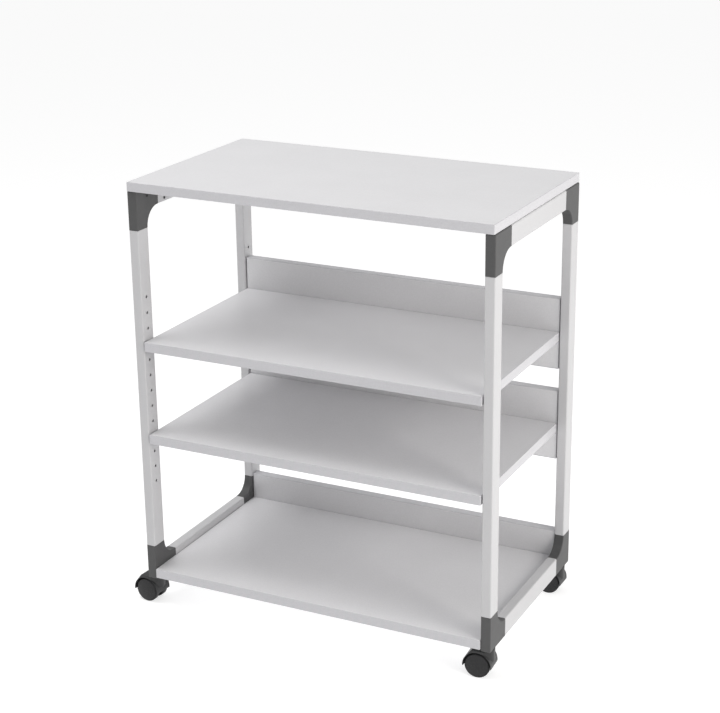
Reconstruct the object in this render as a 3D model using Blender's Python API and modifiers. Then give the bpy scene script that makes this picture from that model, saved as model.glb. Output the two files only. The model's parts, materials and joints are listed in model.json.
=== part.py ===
# Mobile printer stand: a four-legged trolley with a worktop, two middle shelves
# with back panels, a bottom shelf and four twin-wheel swivel castors.
# Metres, +Z up.  X runs along the width and -Y is the front.

import math

import bmesh
import bpy
from mathutils import Matrix, Vector

# Overall sizes
STAND_WIDTH = 0.750          # over the outer side faces of the legs
STAND_DEPTH = 0.423          # over the front and back faces of the legs
STAND_HEIGHT = 0.882         # floor to the top of the worktop
GAP = 0.0003                 # left between pieces that rest on each other

# Boards
TOP_THICK = 0.018
TOP_SIDE_INSET = 0.0015      # worktop edge inside the legs' outer faces
TOP_OVERHANG = 0.0027        # worktop and shelves ahead of the legs' front faces
SHELF_THICK = 0.019
SHELF_END_GAP = 0.002        # middle shelf end to leg
BOARD_EDGE = 0.0008          # softened edge of every board
PANEL_THICK = 0.019
PANEL_HEIGHT = 0.146
PANEL_RISE = 0.068           # above the top of its shelf
PANEL_BACK_COVER = 0.005     # back panel behind the middle of the rear legs
BOTTOM_SHELF_RAISE = 0.004   # underside above the bottom of the lower rails
BOTTOM_PANEL_RISE = 0.056

# Frame
LEG_WIDTH = 0.020            # along X
LEG_DEPTH = 0.035            # along Y
LEG_EDGE = 0.0025            # radius of a tube's long edges
TUBE_WALL = 0.0015
UPPER_RAIL_HEIGHT = 0.039
LOWER_RAIL_HEIGHT = 0.038
UPPER_SWEEP = 0.037          # concave corner between leg and rail
LOWER_SWEEP = 0.034
BRACKET_FLAT = 0.001         # straight end of a bracket past the larger sweep
SPIGOT_LENGTH = 0.034
SPIGOT_CLEARANCE = 0.0004

# Row of shelf holes in the inner face of every leg
HOLE_COUNT = 13
HOLE_PITCH = 0.032
TOP_HOLE_DROP = 0.2107       # top hole below the underside of the worktop
SHELF_HOLES = {"upper": 3, "lower": 9}    # counted down from the top hole

# Fasteners
PIN_RADIUS = 0.0023
PIN_LEG_CLEARANCE = 0.00045
PIN_BOARD_CLEARANCE = 0.0006
PIN_COLLAR_RADIUS = 0.0042
PIN_COLLAR_CLEARANCE = 0.0004    # each side of the collar
PIN_IN_LEG = 0.010
PIN_IN_BOARD = 0.012
SCREW_HEAD_RADIUS = 0.0026
SCREW_HEAD_THICK = 0.0012
SCREW_SHANK_RADIUS = 0.0014
SCREW_LENGTH = 0.011
SCREW_BORE_CLEARANCE = 0.0004
BORE_END_CLEARANCE = 0.0006      # past the end of a pin, screw, axle or stem
BRACKET_SCREW_INBOARD = 0.0015   # past the leg's inner edge
BRACKET_SCREW_DROP = 0.015       # below the worktop
RAIL_SCREW_INBOARD = 0.0215      # past the end of the bracket
RAIL_SCREW_RISE = 0.0075         # above the rail's lower edge

# Castors
CASTOR_INBOARD = 0.0241      # swivel axis behind the leg's outer Y face
CASTOR_TRAIL = 0.020         # swivel axis to axle
REST_SWIVEL = {"front_left": -5.0, "front_right": 4.0, "rear_left": 0.0, "rear_right": 0.0}
WHEEL_RADIUS = 0.025
WHEEL_WIDTH = 0.0138
WHEEL_DOME = 0.0010
WHEEL_CORNER = 0.0008
WHEEL_CLEARANCE = 0.0016     # wheel to the inside of the hood
WEB_THICK = 0.012            # between the two wheels
WEB_CLEARANCE = 0.0005
HOOD_LIP = 0.0005            # hood past the middle of each wheel's outer face
HOOD_WALL = 0.0019
HOOD_ROOF = 0.0072           # top of the wheels to the flat top of the hood
HOOD_CLEARANCE = 0.0023      # under the bracket
HOOD_STEM_WALL = 0.0053      # round front of the hood ahead of the stem
HOOD_STEM_FLOOR = 0.0090     # and below the stem
HOOD_TOP_BACK = 0.011        # end of the hood's flat top behind the axle
HOOD_FRONT_LIP = -6.0        # degrees above the axle
HOOD_BACK_LIP = -5.0         # the same, at the back
AXLE_RADIUS = 0.002
AXLE_CLEARANCE = 0.0003
AXLE_BOSS_RADIUS = 0.007
AXLE_IN_WHEEL = 0.010
STEM_RADIUS = 0.004
STEM_CLEARANCE = 0.0004
STEM_IN_HOOD = 0.0155
STEM_IN_BRACKET = 0.030
STEM_COLLAR_RADIUS = 0.0075
STEM_COLLAR_THICK = 0.0014

# Numbers of facets
ARC_STEPS = 8
EDGE_STEPS = 3
HOLE_SIDES = 8
WHEEL_STEPS = 24
PIN_STEPS = 10
POCKET_SIDES = 36

# Places worked out from the sizes above
LEG_INNER = STAND_WIDTH / 2 - LEG_WIDTH
LEG_X = STAND_WIDTH / 2 - LEG_WIDTH / 2
LEG_Y = STAND_DEPTH / 2 - LEG_DEPTH / 2
TOP_UNDERSIDE = STAND_HEIGHT - TOP_THICK
TOP_HOLE_HEIGHT = TOP_UNDERSIDE - TOP_HOLE_DROP
HOOD_TOP = 2 * WHEEL_RADIUS + HOOD_ROOF
CASTOR_HEIGHT = HOOD_TOP + HOOD_CLEARANCE
UPPER_RAIL_BOTTOM = TOP_UNDERSIDE - GAP - UPPER_RAIL_HEIGHT
UPPER_LEG_END = UPPER_RAIL_BOTTOM - UPPER_SWEEP
LOWER_RAIL_TOP = CASTOR_HEIGHT + LOWER_RAIL_HEIGHT
LOWER_LEG_END = LOWER_RAIL_TOP + LOWER_SWEEP
BRACKET_REACH = LEG_DEPTH + max(UPPER_SWEEP, LOWER_SWEEP) + BRACKET_FLAT
RAIL_END_Y = STAND_DEPTH / 2 - BRACKET_REACH
SHELF_FRONT = -(STAND_DEPTH / 2 + TOP_OVERHANG)
PANEL_FRONT = LEG_Y + PANEL_BACK_COVER - PANEL_THICK
BOTTOM_SHELF_TOP = CASTOR_HEIGHT + BOTTOM_SHELF_RAISE + SHELF_THICK
CASTOR_Y = STAND_DEPTH / 2 - CASTOR_INBOARD
HOOD_RADIUS = WHEEL_RADIUS + WHEEL_CLEARANCE + HOOD_WALL
HOOD_WIDTH = WEB_THICK + 2 * (WEB_CLEARANCE + WHEEL_WIDTH + HOOD_LIP)
HOOD_FRONT = STEM_RADIUS + HOOD_STEM_WALL
HOOD_FRONT_DEPTH = STEM_IN_HOOD + BORE_END_CLEARANCE + HOOD_STEM_FLOOR

CORNERS = {
    "front_left": (-1, -1),
    "front_right": (1, -1),
    "rear_left": (-1, 1),
    "rear_right": (1, 1),
}

# Outline axes: (a, b, thickness) to (x, y, z)
UPRIGHT_ALONG_Y = Matrix(((0, 0, 1, 0), (1, 0, 0, 0), (0, 1, 0, 0), (0, 0, 0, 1)))
UPRIGHT_ALONG_X = Matrix.Rotation(math.radians(90), 4, "X")
FLAT = Matrix.Identity(4)

# Linear colours
COLOURS = {
    "board_grey": ((0.74, 0.74, 0.76), 0.45, 0.0),
    "frame_grey": ((0.66, 0.66, 0.67), 0.40, 0.1),
    "bracket_grey": ((0.12, 0.12, 0.12), 0.50, 0.0),
    "castor_black": ((0.035, 0.035, 0.037), 0.38, 0.0),
    "steel": ((0.55, 0.55, 0.56), 0.30, 1.0),
    "screw_dark": ((0.05, 0.05, 0.05), 0.45, 0.6),
}


# ---- helpers ---------------------------------------------------------------

def clear_scene():
    for obj in list(bpy.data.objects):
        bpy.data.objects.remove(obj, do_unlink=True)


def make_collection(name):
    collection = bpy.data.collections.new(name)
    bpy.context.scene.collection.children.link(collection)
    return collection


def make_material(name, kind):
    colour, roughness, metallic = COLOURS[kind]
    material = bpy.data.materials.new(name + "_material")
    material.use_nodes = True
    shader = material.node_tree.nodes["Principled BSDF"]
    shader.inputs["Base Color"].default_value = (*colour, 1.0)
    shader.inputs["Roughness"].default_value = roughness
    shader.inputs["Metallic"].default_value = metallic
    return material


def add_part(name, mesh, kind, parent, location=(0, 0, 0), rotation=(0, 0, 0)):
    obj = bpy.data.objects.new(name, mesh)
    mesh.materials.append(make_material(name, kind))
    parts.objects.link(obj)
    obj.parent = parent
    obj.location = location
    obj.rotation_euler = rotation
    return obj


def add_tool(name, mesh, parent, location=(0, 0, 0), rotation=(0, 0, 0)):
    # A tool only cuts or joins other pieces.
    obj = bpy.data.objects.new(name, mesh)
    tools.objects.link(obj)
    obj.parent = parent
    obj.location = location
    obj.rotation_euler = rotation
    obj.display_type = "WIRE"
    obj.hide_render = True
    return obj


def add_empty(name, parent, location=(0, 0, 0), turn=0.0):
    empty = bpy.data.objects.new(name, None)
    parts.objects.link(empty)
    empty.parent = parent
    empty.location = location
    empty.rotation_euler = (0, 0, turn)
    return empty


def combine(obj, tool, operation):
    modifier = obj.modifiers.new(tool.name, "BOOLEAN")
    modifier.operation = operation
    modifier.solver = "EXACT"
    modifier.object = tool


def soften(obj, width, segments=1):
    modifier = obj.modifiers.new("soft_edges", "BEVEL")
    modifier.width = width
    modifier.segments = segments
    modifier.limit_method = "ANGLE"
    modifier.angle_limit = math.radians(40)


def smooth_round(mesh):
    mesh.shade_smooth()
    mesh.set_sharp_from_angle(angle=math.radians(35))


def box_mesh(name, size):
    mesh = bpy.data.meshes.new(name)
    shape = bmesh.new()
    bmesh.ops.create_cube(shape, size=1.0, matrix=Matrix.Diagonal((*size, 1.0)))
    shape.to_mesh(mesh)
    shape.free()
    return mesh


def rod_mesh(name, radius, length, sides):
    # A plain round rod along local Z, centred on its origin.
    mesh = bpy.data.meshes.new(name)
    shape = bmesh.new()
    bmesh.ops.create_cone(shape, cap_ends=True, segments=sides, radius1=radius, radius2=radius, depth=length)
    shape.to_mesh(mesh)
    shape.free()
    return mesh


def outline_mesh(name, outlines, thickness, axes):
    # A closed flat outline, with any holes as further outlines, given a thickness.
    curve = bpy.data.curves.new(name, "CURVE")
    curve.dimensions = "2D"
    curve.fill_mode = "BOTH"
    curve.extrude = thickness / 2
    for points in outlines:
        spline = curve.splines.new("POLY")
        spline.points.add(len(points) - 1)
        spline.use_cyclic_u = True
        for point, (a, b) in zip(spline.points, points):
            point.co = (a, b, 0, 1)
    holder = bpy.data.objects.new(name, curve)
    tools.objects.link(holder)
    bpy.context.view_layer.update()
    evaluated = holder.evaluated_get(bpy.context.evaluated_depsgraph_get())
    mesh = bpy.data.meshes.new_from_object(evaluated)
    bpy.data.objects.remove(holder)
    shape = bmesh.new()
    shape.from_mesh(mesh)
    bmesh.ops.remove_doubles(shape, verts=shape.verts, dist=0.00001)
    bmesh.ops.transform(shape, matrix=axes, verts=shape.verts)
    bmesh.ops.recalc_face_normals(shape, faces=shape.faces)
    shape.to_mesh(mesh)
    shape.free()
    mesh.materials.clear()
    return mesh


def arc(centre, radius, start, end, steps):
    points = []
    for step in range(steps + 1):
        angle = math.radians(start + (end - start) * step / steps)
        points.append((centre[0] + radius * math.cos(angle), centre[1] + radius * math.sin(angle)))
    return points


def rounded_rectangle(width, height, radius):
    points = []
    x = width / 2 - radius
    y = height / 2 - radius
    for centre, start in (((x, y), 0), ((-x, y), 90), ((-x, -y), 180), ((x, -y), 270)):
        points += arc(centre, radius, start, start + 90, EDGE_STEPS)
    return points


def tube_mesh(name, width, depth, length, axes):
    outer = rounded_rectangle(width, depth, LEG_EDGE)
    inner_edge = max(LEG_EDGE - TUBE_WALL, GAP)
    inner = rounded_rectangle(width - 2 * TUBE_WALL, depth - 2 * TUBE_WALL, inner_edge)
    return outline_mesh(name, [outer, inner], length, axes)


def turned(obj, steps):
    modifier = obj.modifiers.new("turn", "SCREW")
    modifier.steps = steps
    modifier.render_steps = steps
    modifier.use_merge_vertices = True
    modifier.merge_threshold = 0.00001
    modifier.use_smooth_shade = False


def profile_mesh(name, profile):
    # (radius, height) points down the outer side, from the axis and back to it.
    mesh = bpy.data.meshes.new(name)
    points = [(radius, 0, height) for radius, height in profile]
    edges = [(i, i + 1) for i in range(len(points) - 1)]
    mesh.from_pydata(points, edges, [])
    return mesh


# ---- boards ----------------------------------------------------------------

def board(name, low, high, parent):
    low, high = Vector(low), Vector(high)
    obj = add_part(name, box_mesh(name, high - low), "board_grey", parent, (low + high) / 2)
    soften(obj, BOARD_EDGE)
    return obj


def make_worktop(parent):
    x = STAND_WIDTH / 2 - TOP_SIDE_INSET
    y = STAND_DEPTH / 2 + TOP_OVERHANG
    board("worktop", (-x, -y, TOP_UNDERSIDE), (x, y, STAND_HEIGHT), parent)


def hole_height(index):
    return TOP_HOLE_HEIGHT - HOLE_PITCH * index


def bore_pin_holes(obj, height, y, parent):
    # One blind bore in each end of a board, in line with the row of leg holes.
    end = LEG_INNER - SHELF_END_GAP
    radius = PIN_RADIUS + PIN_BOARD_CLEARANCE
    for side in (-1, 1):
        name = f"{obj.name}_bore_{'left' if side < 0 else 'right'}"
        mesh = rod_mesh(name, radius, 2 * (PIN_IN_BOARD + BORE_END_CLEARANCE), HOLE_SIDES)
        tool = add_tool(name, mesh, parent, (side * end, y, height), (0, math.radians(90), 0))
        combine(obj, tool, "DIFFERENCE")


def make_middle_shelf(level, parent):
    height = hole_height(SHELF_HOLES[level])
    x = LEG_INNER - SHELF_END_GAP
    top = height + SHELF_THICK / 2
    low = (-x, SHELF_FRONT, height - SHELF_THICK / 2)
    high = (x, PANEL_FRONT - GAP, top)
    shelf = board(f"{level}_shelf", low, high, parent)
    bore_pin_holes(shelf, height, -LEG_Y, parent)
    low = (-x, PANEL_FRONT, top + PANEL_RISE - PANEL_HEIGHT)
    high = (x, PANEL_FRONT + PANEL_THICK, top + PANEL_RISE)
    panel = board(f"{level}_back_panel", low, high, parent)
    bore_pin_holes(panel, height, LEG_Y, parent)


def make_bottom_shelf(parent):
    x = LEG_INNER - GAP
    underside = BOTTOM_SHELF_TOP - SHELF_THICK
    board("bottom_shelf", (-x, SHELF_FRONT, underside), (x, PANEL_FRONT - GAP, BOTTOM_SHELF_TOP), parent)
    low = (-x, PANEL_FRONT, underside)
    high = (x, PANEL_FRONT + PANEL_THICK, BOTTOM_SHELF_TOP + BOTTOM_PANEL_RISE)
    board("bottom_back_panel", low, high, parent)


# ---- frame -----------------------------------------------------------------

def make_hole_rows(parent):
    # One long tool goes through the inner wall of the left and the right leg.
    rows = {}
    reach = 2 * (LEG_INNER + TUBE_WALL * 2)
    for name, side in (("front", -1), ("rear", 1)):
        mesh = rod_mesh(f"{name}_hole_row", PIN_RADIUS + PIN_LEG_CLEARANCE, reach, HOLE_SIDES)
        place = (0, side * LEG_Y, TOP_HOLE_HEIGHT)
        row = add_tool(f"{name}_hole_row", mesh, parent, place, (0, math.radians(90), 0))
        copies = row.modifiers.new("pitch", "ARRAY")
        copies.count = HOLE_COUNT
        copies.use_relative_offset = False
        copies.use_constant_offset = True
        copies.constant_offset_displace = (HOLE_PITCH, 0, 0)
        rows[side] = row
    return rows


def make_leg(corner, rows, parent):
    side_x, side_y = CORNERS[corner]
    low = LOWER_LEG_END + GAP
    high = UPPER_LEG_END - GAP
    mesh = tube_mesh(f"{corner}_leg", LEG_WIDTH, LEG_DEPTH, high - low, FLAT)
    place = (side_x * LEG_X, side_y * LEG_Y, (low + high) / 2)
    leg = add_part(f"{corner}_leg", mesh, "frame_grey", parent, place)
    combine(leg, rows[side_y], "DIFFERENCE")


def make_rail(name, side_x, bottom, height, parent):
    length = 2 * (RAIL_END_Y - GAP)
    mesh = tube_mesh(name, LEG_WIDTH, height, length, UPRIGHT_ALONG_X)
    return add_part(name, mesh, "frame_grey", parent, (side_x * LEG_X, 0, bottom + height / 2))


def bracket_outline(rail_height, sweep):
    # Leg at the left, rail at the bottom, concave sweep between them.
    # The corner where the two outer faces meet is at (0, 0).
    edge = LEG_EDGE / 2
    high = rail_height + sweep
    centre = (LEG_DEPTH + sweep, high)
    return [
        *arc((edge, edge), edge, 270, 180, EDGE_STEPS),
        (0, high),
        *arc(centre, sweep, 180, 270, ARC_STEPS),
        (BRACKET_REACH, rail_height),
        (BRACKET_REACH, 0),
    ]


def add_spigots(bracket, corner, side_z, leg_end, rail_middle, rail_height, parent):
    # Short tongues that go up or down the leg tube and along the rail tube.
    side_x, side_y = CORNERS[corner]
    shrink = 2 * (TUBE_WALL + SPIGOT_CLEARANCE)
    root = SPIGOT_LENGTH / 2
    size = (LEG_WIDTH - shrink, LEG_DEPTH - shrink, SPIGOT_LENGTH + root)
    place = (side_x * LEG_X, side_y * LEG_Y, leg_end - side_z * (SPIGOT_LENGTH - root) / 2)
    leg_tool = add_tool(f"{bracket.name}_leg_spigot", box_mesh("spigot", size), parent, place)
    size = (LEG_WIDTH - shrink, SPIGOT_LENGTH + root, rail_height - shrink)
    place = (side_x * LEG_X, side_y * (RAIL_END_Y - (SPIGOT_LENGTH - root) / 2), rail_middle)
    rail_tool = add_tool(f"{bracket.name}_rail_spigot", box_mesh("spigot", size), parent, place)
    for tool in (leg_tool, rail_tool):
        soften(tool, SPIGOT_CLEARANCE * 2)
        combine(bracket, tool, "UNION")


def bore(obj, name, radius, length, place, rotation, parent):
    tool = add_tool(name, rod_mesh(name, radius, length, HOLE_SIDES), parent, place, rotation)
    combine(obj, tool, "DIFFERENCE")


def screw_places(side_x, side_y):
    face = side_x * LEG_INNER
    y = side_y * (STAND_DEPTH / 2 - LEG_DEPTH - BRACKET_SCREW_INBOARD)
    bracket_place = (face, y, TOP_UNDERSIDE - BRACKET_SCREW_DROP)
    y = side_y * (RAIL_END_Y - RAIL_SCREW_INBOARD)
    rail_place = (face, y, UPPER_RAIL_BOTTOM + RAIL_SCREW_RISE)
    return bracket_place, rail_place


def make_upper_bracket(corner, parent):
    side_x, side_y = CORNERS[corner]
    points = bracket_outline(UPPER_RAIL_HEIGHT, UPPER_SWEEP)
    top = TOP_UNDERSIDE - GAP
    points = [(side_y * (STAND_DEPTH / 2 - a), top - b) for a, b in points]
    name = f"{corner}_upper_bracket"
    mesh = outline_mesh(name, [points], LEG_WIDTH, UPRIGHT_ALONG_Y)
    bracket = add_part(name, mesh, "bracket_grey", parent, (side_x * LEG_X, 0, 0))
    middle = UPPER_RAIL_BOTTOM + UPPER_RAIL_HEIGHT / 2
    add_spigots(bracket, corner, 1, UPPER_LEG_END, middle, UPPER_RAIL_HEIGHT, parent)
    radius = SCREW_SHANK_RADIUS + SCREW_BORE_CLEARANCE
    length = 2 * (SCREW_LENGTH + BORE_END_CLEARANCE)
    sideways = (0, math.radians(90), 0)
    for use, place in zip(("bracket", "rail"), screw_places(side_x, side_y)):
        bore(bracket, f"{name}_{use}_bore", radius, length, place, sideways, parent)


def make_upper_rail(side, side_x, parent):
    name = f"{side}_upper_rail"
    rail = make_rail(name, side_x, UPPER_RAIL_BOTTOM, UPPER_RAIL_HEIGHT, parent)
    radius = SCREW_SHANK_RADIUS + SCREW_BORE_CLEARANCE
    for end, side_y in (("front", -1), ("rear", 1)):
        place = screw_places(side_x, side_y)[1]
        sideways = (0, math.radians(90), 0)
        bore(rail, f"{name}_{end}_bore", radius, TUBE_WALL * 4, place, sideways, parent)


def make_lower_bracket(corner, parent):
    side_x, side_y = CORNERS[corner]
    points = bracket_outline(LOWER_RAIL_HEIGHT, LOWER_SWEEP)
    points = [(side_y * (STAND_DEPTH / 2 - a), CASTOR_HEIGHT + b) for a, b in points]
    name = f"{corner}_lower_bracket"
    mesh = outline_mesh(name, [points], LEG_WIDTH, UPRIGHT_ALONG_Y)
    bracket = add_part(name, mesh, "bracket_grey", parent, (side_x * LEG_X, 0, 0))
    middle = CASTOR_HEIGHT + LOWER_RAIL_HEIGHT / 2
    add_spigots(bracket, corner, -1, LOWER_LEG_END, middle, LOWER_RAIL_HEIGHT, parent)
    radius = STEM_RADIUS + STEM_CLEARANCE
    length = 2 * (STEM_IN_BRACKET + BORE_END_CLEARANCE)
    place = (side_x * LEG_X, side_y * CASTOR_Y, CASTOR_HEIGHT)
    bore(bracket, f"{name}_stem_bore", radius, length, place, (0, 0, 0), parent)


# ---- fasteners -------------------------------------------------------------

def make_shelf_pin(name, side_x, y, height, parent):
    # Local Z points into the leg; the collar stands in the gap beside the board.
    collar = SHELF_END_GAP / 2 - PIN_COLLAR_CLEARANCE
    into_leg = SHELF_END_GAP / 2 + PIN_IN_LEG
    into_board = SHELF_END_GAP / 2 + PIN_IN_BOARD
    profile = [
        (0, into_leg),
        (PIN_RADIUS, into_leg),
        (PIN_RADIUS, collar),
        (PIN_COLLAR_RADIUS, collar),
        (PIN_COLLAR_RADIUS, -collar),
        (PIN_RADIUS, -collar),
        (PIN_RADIUS, -into_board),
        (0, -into_board),
    ]
    place = (side_x * (LEG_INNER - SHELF_END_GAP / 2), y, height)
    rotation = (0, math.radians(90 * side_x), 0)
    pin = add_part(name, profile_mesh(name, profile), "steel", parent, place, rotation)
    turned(pin, PIN_STEPS)


def make_side_screw(name, side_x, place, parent):
    # Local Z points into the rail; the head rests on the inner face.
    shank = SCREW_SHANK_RADIUS
    profile = [
        (0, SCREW_LENGTH),
        (shank, SCREW_LENGTH),
        (shank, -GAP),
        (SCREW_HEAD_RADIUS, -GAP),
        (SCREW_HEAD_RADIUS * 0.8, -GAP - SCREW_HEAD_THICK),
        (0, -GAP - SCREW_HEAD_THICK),
    ]
    rotation = (0, math.radians(90 * side_x), 0)
    screw = add_part(name, profile_mesh(name, profile), "screw_dark", parent, place, rotation)
    turned(screw, PIN_STEPS)


def make_fasteners(parent):
    for level, index in SHELF_HOLES.items():
        for corner, (side_x, side_y) in CORNERS.items():
            name = f"{level}_{corner}_pin"
            make_shelf_pin(name, side_x, side_y * LEG_Y, hole_height(index), parent)
    for corner, (side_x, side_y) in CORNERS.items():
        for use, place in zip(("bracket", "rail"), screw_places(side_x, side_y)):
            make_side_screw(f"{corner}_{use}_screw", side_x, place, parent)


# ---- castors ---------------------------------------------------------------

def hood_outline(front_middle):
    # Seen along the axle, with the wheels trailing towards -a. The round front is added after.
    centre = (-CASTOR_TRAIL, WHEEL_RADIUS)
    corner = (-CASTOR_TRAIL - HOOD_TOP_BACK, HOOD_TOP)
    away = math.dist(centre, corner)
    facing = math.degrees(math.atan2(corner[1] - centre[1], corner[0] - centre[0]))
    touch = facing + math.degrees(math.acos(min(1.0, HOOD_RADIUS / away)))
    front = math.degrees(math.acos((front_middle + CASTOR_TRAIL) / HOOD_RADIUS))
    return [
        *arc(centre, HOOD_RADIUS, 180 - HOOD_BACK_LIP, touch, ARC_STEPS // 2),
        corner,
        (front_middle, HOOD_TOP),
        *arc(centre, HOOD_RADIUS, front, HOOD_FRONT_LIP, ARC_STEPS),
        centre,
    ]


def make_hood(corner, swivel):
    name = f"{corner}_castor_hood"
    across = (math.radians(90), 0, 0)
    axle_place = Vector((-CASTOR_TRAIL, 0, WHEEL_RADIUS))
    front_radius = HOOD_WIDTH / 2 - GAP
    front_middle = HOOD_FRONT - front_radius
    mesh = outline_mesh(name, [hood_outline(front_middle)], HOOD_WIDTH, UPRIGHT_ALONG_X)
    hood = add_part(name, mesh, "castor_black", swivel)
    front = rod_mesh(f"{name}_round_front", front_radius, HOOD_FRONT_DEPTH, POCKET_SIDES)
    place = (front_middle, 0, HOOD_TOP - HOOD_FRONT_DEPTH / 2)
    combine(hood, add_tool(front.name, front, swivel, place), "UNION")
    pocket_depth = (HOOD_WIDTH - WEB_THICK) / 2
    for word, side in (("first", -1), ("second", 1)):
        pocket = rod_mesh(f"{name}_{word}_pocket", HOOD_RADIUS - HOOD_WALL, pocket_depth * 2, POCKET_SIDES)
        place = axle_place + Vector((0, side * (WEB_THICK / 2 + pocket_depth), 0))
        combine(hood, add_tool(pocket.name, pocket, swivel, place, across), "DIFFERENCE")
    boss = rod_mesh(f"{name}_axle_boss", AXLE_BOSS_RADIUS, WEB_THICK - GAP, POCKET_SIDES // 2)
    combine(hood, add_tool(boss.name, boss, swivel, axle_place, across), "UNION")
    radius = AXLE_RADIUS + AXLE_CLEARANCE
    bore(hood, f"{name}_axle_bore", radius, HOOD_WIDTH, axle_place, across, swivel)
    radius = STEM_RADIUS + STEM_CLEARANCE
    length = 2 * (STEM_IN_HOOD + BORE_END_CLEARANCE)
    bore(hood, f"{name}_stem_bore", radius, length, (0, 0, HOOD_TOP), (0, 0, 0), swivel)


def make_axle(corner, swivel):
    name = f"{corner}_castor_axle"
    length = WEB_THICK + 2 * (WEB_CLEARANCE + AXLE_IN_WHEEL)
    place = (-CASTOR_TRAIL, 0, WHEEL_RADIUS)
    mesh = rod_mesh(name, AXLE_RADIUS, length, PIN_STEPS)
    smooth_round(mesh)
    add_part(name, mesh, "steel", swivel, place, (math.radians(90), 0, 0))


def make_wheel(name, side, swivel):
    # Local Z points outwards from the castor's middle.
    bore_radius = AXLE_RADIUS + AXLE_CLEARANCE
    bore_end = AXLE_IN_WHEEL + BORE_END_CLEARANCE
    profile = [
        (0, WHEEL_WIDTH),
        (WHEEL_RADIUS * 0.55, WHEEL_WIDTH - WHEEL_DOME * 0.3),
        (WHEEL_RADIUS - WHEEL_CORNER, WHEEL_WIDTH - WHEEL_DOME),
        (WHEEL_RADIUS, WHEEL_WIDTH - WHEEL_DOME - WHEEL_CORNER),
        (WHEEL_RADIUS, WHEEL_CORNER),
        (WHEEL_RADIUS - WHEEL_CORNER, 0),
        (bore_radius, 0),
        (bore_radius, bore_end),
        (0, bore_end),
    ]
    place = (-CASTOR_TRAIL, side * (WEB_THICK / 2 + WEB_CLEARANCE), WHEEL_RADIUS)
    rotation = (math.radians(-90 * side), 0, 0)
    wheel = add_part(name, profile_mesh(name, profile), "castor_black", swivel, place, rotation)
    turned(wheel, WHEEL_STEPS)


def make_stem(corner, parent):
    # Fixed in the bracket; the hood turns on its lower end under the collar.
    side_x, side_y = CORNERS[corner]
    middle = HOOD_CLEARANCE / 2
    collar = STEM_COLLAR_THICK / 2
    profile = [
        (0, middle + STEM_IN_BRACKET),
        (STEM_RADIUS, middle + STEM_IN_BRACKET),
        (STEM_RADIUS, collar),
        (STEM_COLLAR_RADIUS, collar),
        (STEM_COLLAR_RADIUS, -collar),
        (STEM_RADIUS, -collar),
        (STEM_RADIUS, -middle - STEM_IN_HOOD),
        (0, -middle - STEM_IN_HOOD),
    ]
    name = f"{corner}_castor_stem"
    place = (side_x * LEG_X, side_y * CASTOR_Y, CASTOR_HEIGHT - middle)
    stem = add_part(name, profile_mesh(name, profile), "steel", parent, place)
    turned(stem, PIN_STEPS + 2)


def make_castor(corner, parent):
    side_x, side_y = CORNERS[corner]
    turn = math.radians(REST_SWIVEL[corner])
    place = (side_x * LEG_X, side_y * CASTOR_Y, 0)
    swivel = add_empty(f"{corner}_castor_swivel", parent, place, turn)
    make_hood(corner, swivel)
    make_axle(corner, swivel)
    make_wheel(f"{corner}_castor_wheel_a", -1, swivel)
    make_wheel(f"{corner}_castor_wheel_b", 1, swivel)
    make_stem(corner, parent)


def middle_offset():
    # The castors trail past the left legs, so the middle of the whole stand's
    # footprint lies left of the middle of its frame.
    turn = abs(math.radians(REST_SWIVEL["front_left"]))
    hood = (CASTOR_TRAIL + HOOD_RADIUS) * math.cos(turn) + HOOD_WIDTH / 2 * math.sin(turn)
    left = max(LEG_X + hood, STAND_WIDTH / 2)
    return (left - STAND_WIDTH / 2) / 2


# ---- build -----------------------------------------------------------------

clear_scene()
parts = make_collection("mobile_printer_stand")
tools = make_collection("tools")
stand = add_empty("stand_middle", None, (middle_offset(), 0, 0))

make_worktop(stand)
for shelf_level in SHELF_HOLES:
    make_middle_shelf(shelf_level, stand)
make_bottom_shelf(stand)

hole_rows = make_hole_rows(stand)
for corner_name in CORNERS:
    make_leg(corner_name, hole_rows, stand)
    make_upper_bracket(corner_name, stand)
    make_lower_bracket(corner_name, stand)
for side_name, side_sign in (("left", -1), ("right", 1)):
    make_upper_rail(side_name, side_sign, stand)
    make_rail(f"{side_name}_lower_rail", side_sign, CASTOR_HEIGHT, LOWER_RAIL_HEIGHT, stand)
make_fasteners(stand)
for corner_name in CORNERS:
    make_castor(corner_name, stand)
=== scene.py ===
import json
import math

import bmesh
import bpy
from mathutils import Matrix, Vector


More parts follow.
